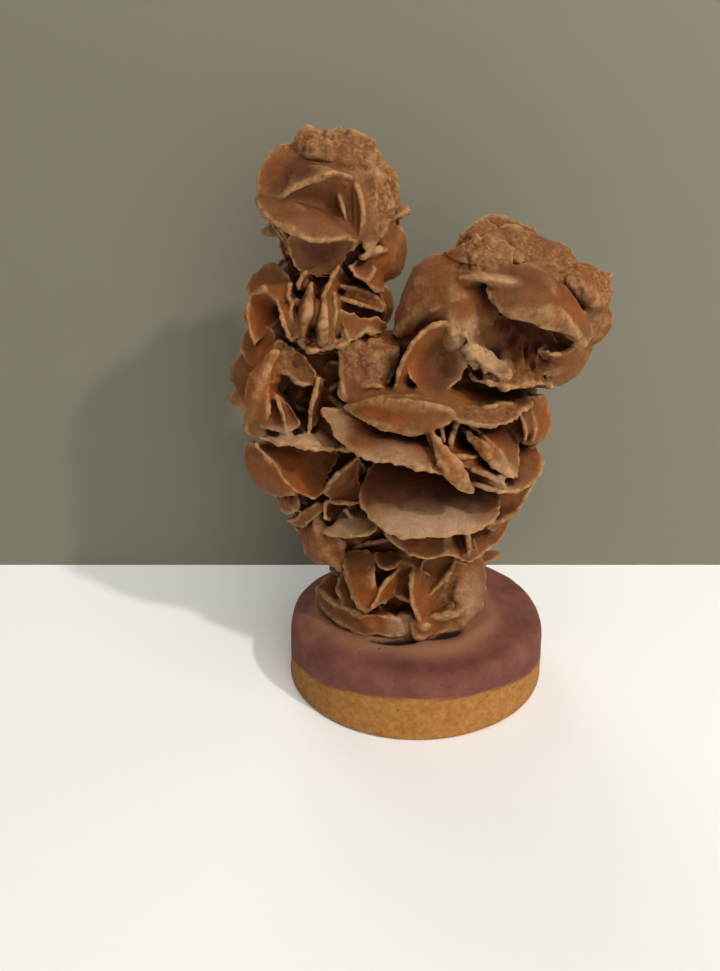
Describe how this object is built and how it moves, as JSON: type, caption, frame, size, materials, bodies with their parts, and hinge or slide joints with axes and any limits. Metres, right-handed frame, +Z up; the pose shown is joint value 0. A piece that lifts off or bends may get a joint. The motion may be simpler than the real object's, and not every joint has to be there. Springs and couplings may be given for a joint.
{
  "type": "gypsum sand rose on a cast mortar base",
  "caption": "Desert-rose crystal cluster of crossing lens-shaped gypsum blades that forks into two heads, standing on a round cast mortar base.",
  "frame": {"origin": "centre of the base's flat underside", "axes": "+Z up; -Y towards the side that the rose shows; +X to that side's right"},
  "size_m": [0.0941, 0.0672, 0.1383],
  "materials": {
    "gypsum": "sandy, matte, pale on the rims and warm amber where the blades are thin or shaded",
    "mortar": "rough cast mortar, dark red-brown above and ochre round the foot"
  },
  "bodies": {
    "root": {"sand_rose": "gypsum", "base": "mortar"}
  },
  "joints": []
}
